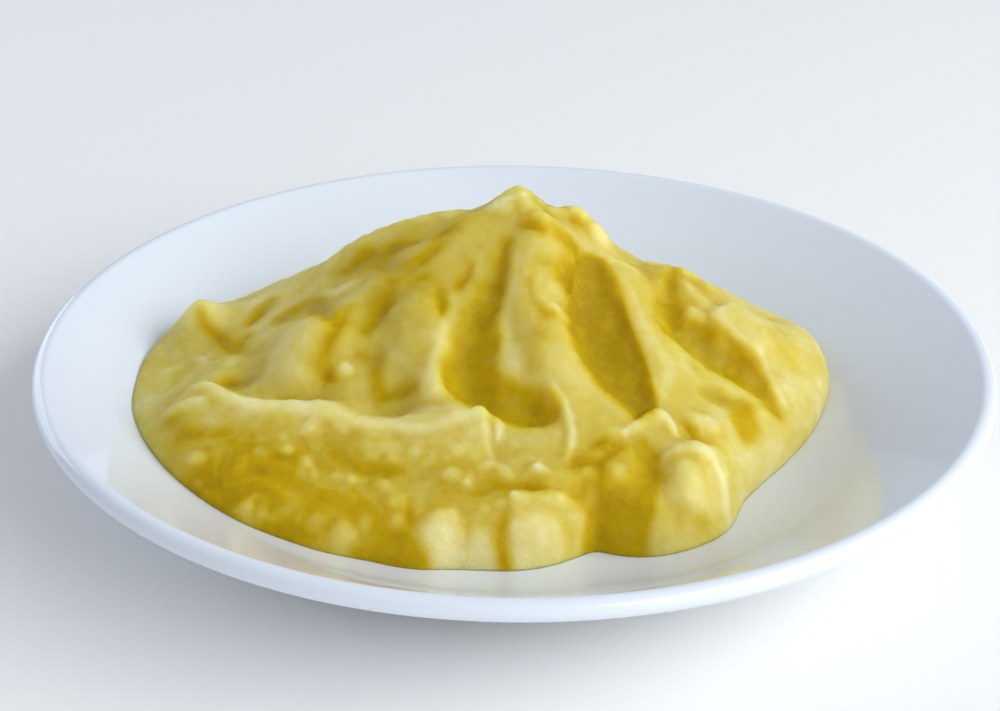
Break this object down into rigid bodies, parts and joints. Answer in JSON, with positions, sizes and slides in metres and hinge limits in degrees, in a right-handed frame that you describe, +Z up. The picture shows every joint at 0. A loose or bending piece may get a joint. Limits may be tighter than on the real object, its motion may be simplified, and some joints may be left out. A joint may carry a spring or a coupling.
{
  "type": "mashed potato side on a plate",
  "caption": "Spoon-marked heap of creamy yellow mashed potato on a round deep white coupe plate with a rolled lip and a foot ring.",
  "frame": {"origin": "centre of the plate on the surface that it stands on", "axes": "+Z up along the plate's axis, -Y towards the eater, +X to the eater's right"},
  "size_m": [0.22, 0.22, 0.0591],
  "materials": {
    "porcelain": "white glazed porcelain, smooth and glossy",
    "mash": "creamy yellow mashed potato, moist satin, deeper gold in its hollows"
  },
  "bodies": {
    "root": {"plate": "porcelain", "mash": "mash"}
  },
  "joints": []
}
